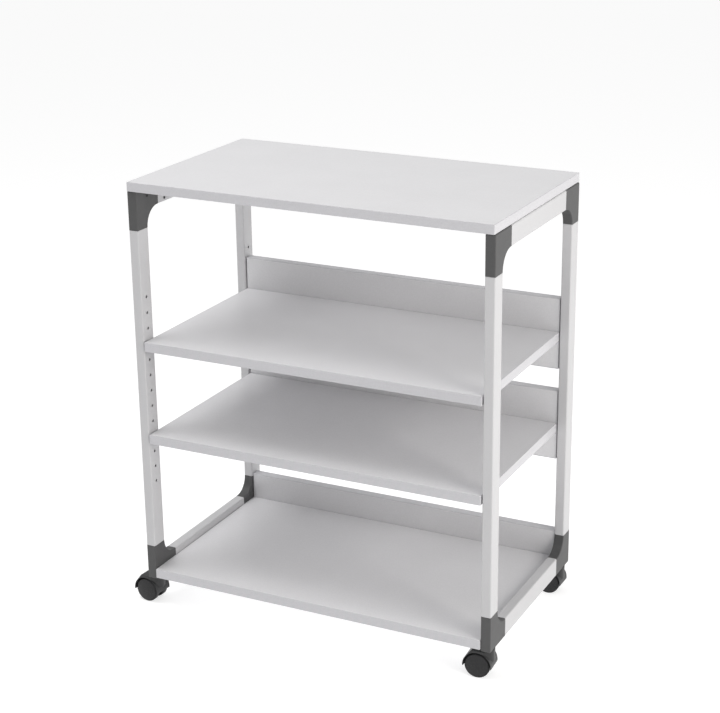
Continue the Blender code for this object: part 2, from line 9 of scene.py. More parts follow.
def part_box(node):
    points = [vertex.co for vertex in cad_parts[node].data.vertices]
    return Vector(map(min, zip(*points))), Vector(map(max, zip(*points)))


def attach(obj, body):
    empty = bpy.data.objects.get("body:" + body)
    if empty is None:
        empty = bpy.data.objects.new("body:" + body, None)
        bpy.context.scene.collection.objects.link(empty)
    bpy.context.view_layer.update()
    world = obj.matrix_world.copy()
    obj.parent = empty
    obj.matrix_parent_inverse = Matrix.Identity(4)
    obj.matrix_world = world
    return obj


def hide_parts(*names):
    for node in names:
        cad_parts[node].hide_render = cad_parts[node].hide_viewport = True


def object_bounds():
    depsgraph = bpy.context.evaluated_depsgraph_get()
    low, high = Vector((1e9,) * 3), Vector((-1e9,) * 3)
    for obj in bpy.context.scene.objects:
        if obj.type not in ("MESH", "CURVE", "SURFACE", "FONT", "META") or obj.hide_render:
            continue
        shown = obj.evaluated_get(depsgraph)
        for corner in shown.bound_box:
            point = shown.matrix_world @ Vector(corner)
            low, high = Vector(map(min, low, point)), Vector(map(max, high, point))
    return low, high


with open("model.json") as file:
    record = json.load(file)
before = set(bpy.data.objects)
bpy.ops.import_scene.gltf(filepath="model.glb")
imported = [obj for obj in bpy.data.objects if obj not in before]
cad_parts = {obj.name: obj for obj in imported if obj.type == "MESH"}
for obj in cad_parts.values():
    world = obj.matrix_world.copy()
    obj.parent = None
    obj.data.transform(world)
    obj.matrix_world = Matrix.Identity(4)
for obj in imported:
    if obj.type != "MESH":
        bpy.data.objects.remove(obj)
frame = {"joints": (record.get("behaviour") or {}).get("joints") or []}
cadBox = [list(corner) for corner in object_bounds()]
joints = {joint["name"]: joint for joint in frame["joints"]}
corners = {"front_left": (-1, -1), "front_right": (1, -1), "rear_left": (-1, 1), "rear_right": (1, 1)}
restGap = 0.0003     # left between pieces that touch
mergeGap = 0.00001   # points closer than this become one
sameHeight = 1e-7    # a turned shape's end this near its last ring is flat


# mesh tools

def ringLoft(rings, closed=False):
    # Joins rings of equally many points, one after the other. An open loft gets two end caps.
    shape = bmesh.new()
    rows = [[shape.verts.new(point) for point in ring] for ring in rings]
    pairs = list(zip(rows, rows[1:]))
    if closed:
        pairs.append((rows[-1], rows[0]))
    for first, second in pairs:
        for i in range(len(first)):
            j = (i + 1) % len(first)
            shape.faces.new((first[i], first[j], second[j], second[i]))
    if not closed:
        shape.faces.new(list(reversed(rows[0])))
        shape.faces.new(rows[-1])
    bmesh.ops.recalc_face_normals(shape, faces=shape.faces)
    return shape


def arcPoints(centre, radius, start, end, steps):
    points = []
    for step in range(steps + 1):
        angle = math.radians(start + (end - start) * step / steps)
        points.append((centre[0] + radius * math.cos(angle), centre[1] + radius * math.sin(angle)))
    return points


def roundedRectangle(width, height, radius, steps):
    a = width / 2 - radius
    b = height / 2 - radius
    points = []
    for centre, start in (((a, b), 0), ((-a, b), 90), ((-a, -b), 180), ((a, -b), 270)):
        points += arcPoints(centre, radius, start, start + 90, steps)
    return points


def turnedShape(profile, steps):
    # (radius, height) points, starting and ending on the axis.
    shape = bmesh.new()
    rows = []
    for radius, height in profile[1:-1]:
        row = []
        for i in range(steps):
            angle = 2 * math.pi * (i + 0.5) / steps
            row.append(shape.verts.new((radius * math.cos(angle), radius * math.sin(angle), height)))
        rows.append(row)
    for first, second in zip(rows, rows[1:]):
        for i in range(steps):
            j = (i + 1) % steps
            shape.faces.new((first[i], second[i], second[j], first[j]))
    for end, row in ((profile[0][1], rows[0]), (profile[-1][1], rows[-1])):
        if math.isclose(end, row[0].co.z, abs_tol=sameHeight):
            shape.faces.new(row)
            continue
        tip = shape.verts.new((0, 0, end))    # a domed end
        for i in range(steps):
            shape.faces.new((tip, row[i], row[(i + 1) % steps]))
    bmesh.ops.recalc_face_normals(shape, faces=shape.faces)
    return shape


def outlineShape(points, thickness, roundEdge, plainEdges=(), steps=3):
    # A flat outline in x and y given a thickness along z. The long edges are rounded, apart from
    # those of the outline's sides named by number in plainEdges.
    shape = bmesh.new()
    low = [shape.verts.new((a, b, -thickness / 2)) for a, b in points]
    high = [shape.verts.new((a, b, thickness / 2)) for a, b in points]
    count = len(points)
    shape.faces.new(list(reversed(low)))
    shape.faces.new(high)
    rims = []
    for i in range(count):
        j = (i + 1) % count
        shape.faces.new((low[i], low[j], high[j], high[i]))
        if i not in plainEdges:
            rims.append(shape.edges.get((low[i], low[j])))
            rims.append(shape.edges.get((high[i], high[j])))
    bmesh.ops.recalc_face_normals(shape, faces=shape.faces)
    bmesh.ops.bevel(shape, geom=rims, offset=roundEdge, segments=steps, profile=0.5, affect="EDGES")
    return shape


def plainObject(name, shape):
    mesh = bpy.data.meshes.new(name)
    shape.to_mesh(mesh)
    shape.free()
    obj = bpy.data.objects.new(name, mesh)
    bpy.context.scene.collection.objects.link(obj)
    return obj


def keepResult(obj):
    bpy.context.view_layer.update()
    evaluated = obj.evaluated_get(bpy.context.evaluated_depsgraph_get())
    mesh = bpy.data.meshes.new_from_object(evaluated)
    obj.modifiers.clear()
    obj.data = mesh


def combined(base, tools, operation):
    # Cuts or joins the tools, one by one, and keeps only the result.
    for tool in tools:
        modifier = base.modifiers.new("combine", "BOOLEAN")
        modifier.operation = operation
        modifier.solver = "EXACT"
        modifier.object = tool
    keepResult(base)
    for tool in tools:
        bpy.data.objects.remove(tool)
    shape = bmesh.new()
    shape.from_mesh(base.data)
    bmesh.ops.remove_doubles(shape, verts=shape.verts, dist=mergeGap)    # slivers left by the cuts
    bmesh.ops.dissolve_degenerate(shape, edges=shape.edges, dist=mergeGap)
    shape.to_mesh(base.data)
    shape.free()


def smoothRound(obj, angle=32):
    # Smooth over the rounded edges, while the flat faces stay flat.
    obj.data.shade_smooth()
    obj.data.set_sharp_from_angle(angle=math.radians(angle))
    modifier = obj.modifiers.new("flatFaces", "WEIGHTED_NORMAL")
    modifier.keep_sharp = True
    modifier.weight = 100
    keepResult(obj)


def finishPiece(obj, materials, body, nodes=()):
    obj.data.materials.clear()
    for material in materials:
        obj.data.materials.append(material)
    smoothRound(obj)
    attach(obj, body)
    if nodes:
        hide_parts(*nodes)


# materials

noise = {    # the same for every finish
    "mottleDetail": 4.0, "mottleLow": 0.25, "mottleHigh": 0.75,
    "fleckDetail": 2.0, "fleckLow": 0.35, "fleckHigh": 0.65,
    "grainDetail": 3.0, "grainStrength": 0.6,
}

finishes = {
    "melamine": {
        "colour": (0.712, 0.708, 0.722), "roughness": 0.40, "metallic": 0.0, "specular": 0.42,
        "mottle": 0.018, "mottleScale": 9.0, "stretch": (1.0, 1.0, 1.0),
        "grainScale": 900.0, "grainDepth": 0.00006, "roughSpread": 0.07,
        "fleckScale": 420.0, "fleck": 0.02,
    },
    "edgeBand": {
        "colour": (0.585, 0.581, 0.604), "roughness": 0.25, "metallic": 0.0, "specular": 0.40,
        "mottle": 0.022, "mottleScale": 26.0, "stretch": (0.06, 0.06, 1.0),
        "grainScale": 1300.0, "grainDepth": 0.00003, "roughSpread": 0.08,
        "fleckScale": 520.0, "fleck": 0.024,
    },
    "powderCoat": {
        "colour": (0.565, 0.562, 0.573), "roughness": 0.30, "metallic": 0.0, "specular": 0.50,
        "mottle": 0.014, "mottleScale": 14.0, "stretch": (1.0, 1.0, 1.0),
        "grainScale": 520.0, "grainDepth": 0.00012, "roughSpread": 0.06,
        "fleckScale": 640.0, "fleck": 0.012,
    },
    "bracketPlastic": {
        "colour": (0.080, 0.080, 0.081), "roughness": 0.50, "metallic": 0.0, "specular": 0.40,
        "mottle": 0.05, "mottleScale": 60.0, "stretch": (1.0, 1.0, 1.0),
        "grainScale": 1700.0, "grainDepth": 0.00005, "roughSpread": 0.10,
        "fleckScale": 1300.0, "fleck": 0.05,
    },
    "hoodNylon": {
        "colour": (0.020, 0.020, 0.021), "roughness": 0.38, "metallic": 0.0, "specular": 0.45,
        "mottle": 0.08, "mottleScale": 80.0, "stretch": (1.0, 1.0, 1.0),
        "grainScale": 1900.0, "grainDepth": 0.00004, "roughSpread": 0.12,
        "fleckScale": 1500.0, "fleck": 0.1,
    },
    "wheelNylon": {
        "colour": (0.013, 0.013, 0.014), "roughness": 0.24, "metallic": 0.0, "specular": 0.34,
        "mottle": 0.10, "mottleScale": 120.0, "stretch": (1.0, 1.0, 1.0),
        "grainScale": 900.0, "grainDepth": 0.00002, "roughSpread": 0.14,
        "fleckScale": 1100.0, "fleck": 0.1,
    },
    "treadNylon": {
        "colour": (0.010, 0.010, 0.011), "roughness": 0.46, "metallic": 0.0, "specular": 0.30,
        "mottle": 0.16, "mottleScale": 160.0, "stretch": (1.0, 1.0, 1.0),
        "grainScale": 1500.0, "grainDepth": 0.00005, "roughSpread": 0.16,
        "fleckScale": 1300.0, "fleck": 0.14,
    },
    "zincSteel": {
        "colour": (0.62, 0.62, 0.63), "roughness": 0.30, "metallic": 1.0, "specular": 0.50,
        "mottle": 0.08, "mottleScale": 220.0, "stretch": (1.0, 1.0, 0.15),
        "grainScale": 1600.0, "grainDepth": 0.00002, "roughSpread": 0.14,
        "fleckScale": 1500.0, "fleck": 0.05,
    },
    # Black zinc, the screws' own colour. On the castor stem the same dark finish is partly painted shade
    # for the shadowed gap between the hood and the bracket.
    "blackZincAndPaintedShade": {
        "colour": (0.032, 0.032, 0.034), "roughness": 0.38, "metallic": 0.6, "specular": 0.50,
        "mottle": 0.10, "mottleScale": 300.0, "stretch": (1.0, 1.0, 1.0),
        "grainScale": 2200.0, "grainDepth": 0.00002, "roughSpread": 0.12,
        "fleckScale": 1800.0, "fleck": 0.08,
    },
}


def makeFinish(name):
    look = finishes[name]
    material = bpy.data.materials.new(name)
    material.use_nodes = True
    nodes = material.node_tree.nodes
    links = material.node_tree.links
    shader = nodes["Principled BSDF"]
    shader.inputs["Metallic"].default_value = look["metallic"]
    shader.inputs["Specular IOR Level"].default_value = look["specular"]

    place = nodes.new("ShaderNodeTexCoord")
    stretch = nodes.new("ShaderNodeMapping")
    stretch.inputs["Scale"].default_value = look["stretch"]
    links.new(place.outputs["Object"], stretch.inputs["Vector"])

    clouds = nodes.new("ShaderNodeTexNoise")    # slow change of tone
    clouds.inputs["Scale"].default_value = look["mottleScale"]
    clouds.inputs["Detail"].default_value = noise["mottleDetail"]
    links.new(stretch.outputs["Vector"], clouds.inputs["Vector"])
    tone = nodes.new("ShaderNodeMapRange")
    tone.inputs["From Min"].default_value = noise["mottleLow"]
    tone.inputs["From Max"].default_value = noise["mottleHigh"]
    tone.inputs["To Min"].default_value = 1.0 - look["mottle"]
    tone.inputs["To Max"].default_value = 1.0 + look["mottle"]
    links.new(clouds.outputs["Fac"], tone.inputs["Value"])
    flecks = nodes.new("ShaderNodeTexNoise")    # small flecks in the surface
    flecks.inputs["Scale"].default_value = look["fleckScale"]
    flecks.inputs["Detail"].default_value = noise["fleckDetail"]
    links.new(place.outputs["Object"], flecks.inputs["Vector"])
    spread = nodes.new("ShaderNodeMapRange")
    spread.inputs["From Min"].default_value = noise["fleckLow"]
    spread.inputs["From Max"].default_value = noise["fleckHigh"]
    spread.inputs["To Min"].default_value = 1.0 - look["fleck"]
    spread.inputs["To Max"].default_value = 1.0 + look["fleck"]
    links.new(flecks.outputs["Fac"], spread.inputs["Value"])
    both = nodes.new("ShaderNodeMath")
    both.operation = "MULTIPLY"
    links.new(tone.outputs["Result"], both.inputs[0])
    links.new(spread.outputs["Result"], both.inputs[1])
    tint = nodes.new("ShaderNodeMix")
    tint.data_type = "RGBA"
    tint.blend_type = "MULTIPLY"
    tint.inputs["Factor"].default_value = 1.0
    tint.inputs["A"].default_value = (*look["colour"], 1.0)
    links.new(both.outputs["Value"], tint.inputs["B"])
    links.new(tint.outputs["Result"], shader.inputs["Base Color"])

    grain = nodes.new("ShaderNodeTexNoise")     # fine surface texture
    grain.inputs["Scale"].default_value = look["grainScale"]
    grain.inputs["Detail"].default_value = noise["grainDetail"]
    links.new(place.outputs["Object"], grain.inputs["Vector"])
    bump = nodes.new("ShaderNodeBump")
    bump.inputs["Strength"].default_value = noise["grainStrength"]
    bump.inputs["Distance"].default_value = look["grainDepth"]
    links.new(grain.outputs["Fac"], bump.inputs["Height"])
    links.new(bump.outputs["Normal"], shader.inputs["Normal"])

    shine = nodes.new("ShaderNodeMapRange")     # uneven gloss
    shine.inputs["To Min"].default_value = look["roughness"] - look["roughSpread"]
    shine.inputs["To Max"].default_value = look["roughness"] + look["roughSpread"]
    links.new(grain.outputs["Fac"], shine.inputs["Value"])
    links.new(shine.outputs["Result"], shader.inputs["Roughness"])
    return material


finish = {name: makeFinish(name) for name in finishes}
print("materials made")


# boards: a laminated core with an edge band glued all round

board = {
    "bandThick": 0.0013,      # edge band
    "bandRound": 0.0011,      # softened outer edges of the band
    "seam": 0.00012,          # hairline where band and laminate meet
    "cornerRound": 0.0015,    # seen from above
    "cornerLeast": 0.0002,    # on rings that lie further in
    "cornerSteps": 4,
    "roundSteps": 3,
}


def boardRing(size, inset, height, turn):
    radius = max(board["cornerRound"] - inset, board["cornerLeast"])
    points = roundedRectangle(size.x - 2 * inset, size.y - 2 * inset, radius, board["cornerSteps"])
    return [turn @ Vector((a, b, height)) for a, b in points]


def makeBoard(node):
    low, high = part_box(node)
    middle = (low + high) / 2
    size = high - low
    upright = size.y < size.z    # a back panel stands on edge
    turn = Matrix.Translation(middle)
    if upright:
        turn = turn @ Matrix.Rotation(math.radians(90), 4, "X")
        size = Vector((size.x, size.z, size.y))
    half = size.z / 2
    band = board["bandThick"]
    seam = board["seam"]
    edge = board["bandRound"]

    gap = seam / 4    # on each side of the joint

    section = [
        (band + seam, -half), (band + gap, -half + seam),
        (band + gap, half - seam), (band + seam, half),
    ]
    core = plainObject(f"{node}_core", ringLoft([boardRing(size, d, z, turn) for d, z in section]))
    finishPiece(core, [finish["melamine"]], "frame", [node])

    section = [(band - gap, -half + seam), (band - seam, -half)]
    section += arcPoints((edge, -half + edge), edge, 270, 180, board["roundSteps"])
    section += arcPoints((edge, half - edge), edge, 180, 90, board["roundSteps"])
    section += [(band - seam, half), (band - gap, half - seam)]
    rings = [boardRing(size, d, z, turn) for d, z in section]
    edging = plainObject(f"{node}_edge_band", ringLoft(rings, closed=True))
    finishPiece(edging, [finish["edgeBand"]], "frame")


flatBoards = ("worktop", "upper_shelf", "lower_shelf", "bottom_shelf")
backPanels = ("upper_back_panel", "lower_back_panel", "bottom_back_panel")
for boardNode in flatBoards + backPanels:
    makeBoard(boardNode)
print("boards made")


# legs and rails: rectangular steel tube

tube = {
    "wall": 0.0015,
    "round": 0.0025,          # outer long edges
    "roundSteps": 5,
    "endBurr": 0.0005,        # softened cut ends
    "holeRadius": 0.00275,
    "holeFlare": 0.0004,      # coated lip round each hole
    "holeReach": 3,           # length of the cut, in wall thicknesses
    "holeSides": 28,
    "holesAbove": 3,          # between the top hole and the upper shelf's pin
    "holesBetween": 6,        # from the upper shelf's pin to the lower one's
    "holeCount": 13,
}


def tubeShape(size, axes):
    # A tube along local z, open at both ends.
    burr = tube["endBurr"]
    half = size.z / 2
    outer = tube["round"]
    inner = outer - tube["wall"]
    sections = [
        (0.0, outer, -half + burr), (0.0, outer, half - burr), (burr, outer, half),
        (tube["wall"], inner, half), (tube["wall"], inner, -half), (burr, outer, -half),
    ]
    rings = []
    for inset, radius, height in sections:
        points = roundedRectangle(size.x - 2 * inset, size.y - 2 * inset, radius, tube["roundSteps"])
        rings.append([axes @ Vector((a, b, height)) for a, b in points])
    return ringLoft(rings, closed=True)


def outwardAt(place, sideX):
    # Local z points away from the middle of the stand.
    return Matrix.Translation(place) @ Matrix.Rotation(math.radians(90 * sideX), 4, "Y")


def pinHeight(level, corner):
    low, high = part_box(f"{level}_{corner}_pin")
    return (low.z + high.z) / 2


def holeShape(reach):
    # Lies along z, with a small flare at the face that it starts from.
    radius = tube["holeRadius"]
    flare = tube["holeFlare"]
    profile = [
        (0, reach), (radius, reach), (radius, flare),
        (radius + flare, 0), (radius + 2 * flare, -flare), (0, -flare),
    ]
    return turnedShape(profile, tube["holeSides"])


def makeLeg(corner):
    sideX = corners[corner][0]
    node = f"{corner}_leg"
    low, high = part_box(node)
    middle = (low + high) / 2
    leg = plainObject(f"{corner}_leg_tube", tubeShape(high - low, Matrix.Translation(middle)))
    upper = pinHeight("upper", corner)
    pitch = (upper - pinHeight("lower", corner)) / tube["holesBetween"]
    face = low.x if sideX > 0 else high.x
    rows = bmesh.new()
    for i in range(tube["holeCount"]):
        hole = holeShape(tube["wall"] * tube["holeReach"])
        height = upper + pitch * (tube["holesAbove"] - i)
        turn = outwardAt((face, middle.y, height), sideX)
        bmesh.ops.transform(hole, matrix=turn, verts=hole.verts)
        mesh = bpy.data.meshes.new("hole")
        hole.to_mesh(mesh)
        hole.free()
        rows.from_mesh(mesh)
        bpy.data.meshes.remove(mesh)
    combined(leg, [plainObject("holes", rows)], "DIFFERENCE")
    finishPiece(leg, [finish["powderCoat"]], "frame", [node])


def makeRail(node):
    low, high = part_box(node)
    size = high - low
    axes = Matrix.Translation((low + high) / 2) @ Matrix.Rotation(math.radians(90), 4, "X")
    rail = plainObject(f"{node}_tube", tubeShape(Vector((size.x, size.z, size.y)), axes))
    finishPiece(rail, [finish["powderCoat"]], "frame", [node])


for cornerName in corners:
    makeLeg(cornerName)
for railNode in ("left_upper_rail", "left_lower_rail", "right_upper_rail", "right_lower_rail"):
    makeRail(railNode)
print("tubes made")


# corner brackets: moulded plastic, the same section as the tubes that they join

bracket = {
    "round": 0.0020,          # long edges, close to the tubes'
    "endRound": 0.0024,       # outermost corner, larger than the edges' rounding
    "endSteps": 6,
    "roundSteps": 4,
    "sweepSteps": 20,
    "flat": {"upper": 0.001, "lower": 0.004},    # straight stretch before the rail
    "spigotLength": 0.034,
    "spigotClearance": 0.0019,                   # spigot inside the tube's outer size
    "spigotRound": 0.001,
    "spigotSteps": 2,
}


def spigot(name, low, high):
    place = Matrix.Translation((low + high) / 2) @ Matrix.Diagonal((*(high - low), 1.0))
    shape = bmesh.new()
    bmesh.ops.create_cube(shape, size=1.0, matrix=place)
    bmesh.ops.bevel(
        shape, geom=shape.edges[:], offset=bracket["spigotRound"],
        segments=bracket["spigotSteps"], profile=0.5, affect="EDGES",
    )
    return plainObject(name, shape)


def makeBracket(corner, level):
    sideX, sideY = corners[corner]
    legLow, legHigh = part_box(f"{corner}_leg")
    railLow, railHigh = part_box(f"{'left' if sideX < 0 else 'right'}_{level}_rail")
    outerY = legHigh.y if sideY > 0 else legLow.y
    reach = abs(outerY) - railHigh.y - restGap
    depth = legHigh.y - legLow.y
    rail = railHigh.z - railLow.z
    if level == "upper":
        up = -1
        base = railHigh.z
        high = railHigh.z - legHigh.z - restGap
    else:
        up = 1
        base = railLow.z
        high = legLow.z - railLow.z - restGap
    sweepY = reach - depth - bracket["flat"][level]
    sweepZ = high - rail
    centre = (depth + sweepY, high)
    sweep = []
    for a, b in arcPoints((0, 0), 1, 180, 270, bracket["sweepSteps"]):
        sweep.append((centre[0] + sweepY * a, centre[1] + sweepZ * b))
    edge = bracket["endRound"]
    points = arcPoints((edge, edge), edge, 270, 180, bracket["endSteps"])
    legEnd = len(points)
    points += [(0, high)] + sweep
    railEnd = len(points)
    points += [(reach, rail), (reach, 0)]
    thick = legHigh.x - legLow.x
    shape = outlineShape(points, thick, bracket["round"], (legEnd, railEnd), bracket["roundSteps"])
    middleX = (legLow.x + legHigh.x) / 2
    axes = Matrix((
        (0, 0, 1, middleX),
        (-sideY, 0, 0, outerY),
        (0, up, 0, base),
        (0, 0, 0, 1),
    ))
    bmesh.ops.transform(shape, matrix=axes, verts=shape.verts)
    bmesh.ops.recalc_face_normals(shape, faces=shape.faces)
    body = plainObject(f"{corner}_{level}_corner", shape)

    clearance = bracket["spigotClearance"]
    length = bracket["spigotLength"]
    inset = Vector((clearance, clearance, 0))
    legEndZ = base + up * high
    start, end = sorted((legEndZ - up * length / 2, legEndZ + up * length))
    tongueLow = Vector((legLow.x, legLow.y, start)) + inset
    tongueHigh = Vector((legHigh.x, legHigh.y, end)) - inset
    legTongue = spigot("leg_tongue", tongueLow, tongueHigh)
    inset = Vector((clearance, 0, clearance))
    railEndY = outerY - sideY * reach
    start, end = sorted((railEndY + sideY * length / 2, railEndY - sideY * length))
    tongueLow = Vector((railLow.x, start, railLow.z)) + inset
    tongueHigh = Vector((railHigh.x, end, railHigh.z)) - inset
    railTongue = spigot("rail_tongue", tongueLow, tongueHigh)
    combined(body, [legTongue, railTongue], "UNION")
    node = f"{corner}_{level}_bracket"
    finishPiece(body, [finish["bracketPlastic"]], "frame", [node])


for cornerName in corners:
    makeBracket(cornerName, "upper")
    makeBracket(cornerName, "lower")
print("brackets made")


# pins and screws

fastener = {
    "pinSides": 28,
    "pinChamfer": 0.0005,
    "pinClearance": 0.00045,       # round the pin in its hole
    "collarClearance": 0.0004,     # between collar and leg, and collar and shelf
    "collarRound": 0.0003,
    "screwSides": 28,
    "tipRadius": 0.28,             # the screw's radii, as shares of the head's
    "shankRadius": 0.54,
    "underRadius": 0.96,
    "rimRadius": 0.97,
    "shoulderRadius": 0.80,
    "crownRadius": 0.45,
    "rimHeight": 0.5,              # share of the head's height
    "tipLength": 0.0012,
    "underRound": 0.0002,
    "crownRise": 0.0001,
    "crossLength": 1.1,            # share of the head's radius
    "slotWidth": 0.0007,
    "slotDepth": 0.0007,
}


def makePin(level, corner):
    node = f"{level}_{corner}_pin"
    sideX = corners[corner][0]
    low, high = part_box(node)
    middle = (low + high) / 2
    collar = (high.z - low.z) / 2
    shelfLow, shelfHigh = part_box(f"{level}_shelf")
    legLow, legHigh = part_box(f"{corner}_leg")
    shelfEnd = shelfHigh.x if sideX > 0 else shelfLow.x
    legFace = legLow.x if sideX > 0 else legHigh.x
    gapMiddle = (shelfEnd + legFace) / 2
    inLeg = high.x - gapMiddle if sideX > 0 else gapMiddle - low.x
    inBoard = gapMiddle - low.x if sideX > 0 else high.x - gapMiddle
    radius = tube["holeRadius"] - fastener["pinClearance"]
    flange = abs(legFace - shelfEnd) / 2 - fastener["collarClearance"]
    cut = fastener["pinChamfer"]
    soft = fastener["collarRound"]
    profile = [
        (0, inLeg), (radius - cut, inLeg), (radius, inLeg - cut), (radius, flange),
        (collar - soft, flange), (collar, flange - soft),
        (collar, -flange + soft), (collar - soft, -flange),
        (radius, -flange), (radius, -inBoard + cut), (radius - cut, -inBoard), (0, -inBoard),
    ]
    pin = plainObject(f"{node}_turned", turnedShape(profile, fastener["pinSides"]))
    pin.data.transform(outwardAt((gapMiddle, middle.y, middle.z), sideX))
    finishPiece(pin, [finish["zincSteel"]], "frame", [node])


def makeScrew(corner, use):
    node = f"{corner}_{use}_screw"
    sideX = corners[corner][0]
    low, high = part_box(node)
    middle = (low + high) / 2
    legLow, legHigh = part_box(f"{corner}_leg")
    face = legLow.x if sideX > 0 else legHigh.x
    head = (high.z - low.z) / 2
    headTop = face - low.x if sideX > 0 else high.x - face
    shank = high.x - face if sideX > 0 else face - low.x
    tip = head * fastener["tipRadius"]
    shankRadius = head * fastener["shankRadius"]
    rimHeight = restGap + (headTop - restGap) * fastener["rimHeight"]
    profile = [
        (0, shank), (tip, shank), (shankRadius, shank - fastener["tipLength"]),
        (shankRadius, -restGap), (head * fastener["underRadius"], -restGap),
        (head, -restGap - fastener["underRound"]), (head * fastener["rimRadius"], -rimHeight),
        (head * fastener["shoulderRadius"], -headTop + fastener["crownRise"]),
        (head * fastener["crownRadius"], -headTop), (0, -headTop),
    ]
    screw = plainObject(f"{node}_turned", turnedShape(profile, fastener["screwSides"]))
    tools = []
    for angle in (0, 90):
        cross = bmesh.new()
        length = head * fastener["crossLength"]
        size = Matrix.Diagonal((length, fastener["slotWidth"], fastener["slotDepth"] * 2, 1.0))
        turn = Matrix.Rotation(math.radians(angle), 4, "Z") @ Matrix.Translation((0, 0, -headTop))
        bmesh.ops.create_cube(cross, size=1.0, matrix=turn @ size)
        tools.append(plainObject("cross", cross))
    combined(screw, tools, "DIFFERENCE")
    screw.data.transform(outwardAt((face, middle.y, middle.z), sideX))
    finishPiece(screw, [finish["blackZincAndPaintedShade"]], "frame", [node])


for cornerName in corners:
    for shelfLevel in ("upper", "lower"):
        makePin(shelfLevel, cornerName)
    for screwUse in ("bracket", "rail"):
        makeScrew(cornerName, screwUse)
print("pins and screws made")


# castors: a hood that turns on a fixed stem, with two wheels on one axle

castor = {
    "hoodWidth": 0.0416,
    "hoodRadius": 0.0285,     # outer arc about the axle
    "hoodWall": 0.0019,
    "hoodTop": 0.0572,        # flat top above the floor
    "hoodTopBack": 0.011,     # end of the flat top behind the axle
    "noseFront": 0.0093,      # ahead of the swivel axis
    "noseDepth": 0.0251,
    "noseBack": 0.006,        # straight part behind the round front
    "frontLip": -6.0,         # degrees above the axle
    "backLip": -5.0,
    "mouthWidth": 0.0010,     # the shell thins towards its open sides
    "mouthDepth": 0.0025,
    "webThick": 0.012,
    "round": 0.0006,
    "arcSteps": 40,
    "sides": 96,
    "wheelWidth": 0.0138,
    "wheelGap": 0.0005,       # between web and wheel
    "wheelDome": 0.0018,
    "domeShares": (0.2, 0.4, 0.6, 0.75, 0.88, 0.96),    # of the cover's radius
    "coverRound": 0.0005,     # down the cover's side
    "coverLip": 0.0001,
    "treadDepth": 0.0021,     # from the cover's edge to the floor
    "treadGap": 0.00008,
    "treadChamfer": 0.0004,
    "treadLip": 0.00005,
    "treadRound": 0.0022,
    "treadSteps": 5,
    "grooveDepth": 0.00012,   # round the middle of the tread
    "grooveHalf": 0.0003,
    "shellDepth": 0.006,      # the wheel is hollow behind its cover, round the hub
    "hubRadius": 0.006,
    "axleRadius": 0.002,
    "axleInWheel": 0.0105,
    "axleChamfer": 0.0004,
    "axleBore": 0.0023,
    "axleDepth": 0.0106,
    "stemRadius": 0.004,
    "stemChamfer": 0.0006,
    "collarHalf": 0.0007,
    "collarRound": 0.0002,
    "stemBore": 0.0044,
    "stemDepth": 0.0161,
    "stemSides": 32,
}


def castorAxes(corner):
    # Local x points ahead of the swivel axis, y across towards the second wheel.
    swivel = Vector(joints[f"{corner}_swivel"]["pos_m"])
    axle = Vector(joints[f"{corner}_wheel_a_spin"]["pos_m"])
    ahead = Vector((swivel.x - axle.x, swivel.y - axle.y, 0))
    turn = math.atan2(ahead.y, ahead.x)
    axes = Matrix.Translation((swivel.x, swivel.y, 0)) @ Matrix.Rotation(turn, 4, "Z")
    return axes, ahead.length, axle.z


def besideWeb(trail, axleHeight, side, distance):
    # Local z points out along the axle, away from the web.
    place = (-trail, side * distance, axleHeight)
    return Matrix.Translation(place) @ Matrix.Rotation(math.radians(-90 * side), 4, "X")


def boreShape(radius, reach):
    return turnedShape([(0, -reach), (radius, -reach), (radius, reach), (0, reach)], castor["stemSides"])


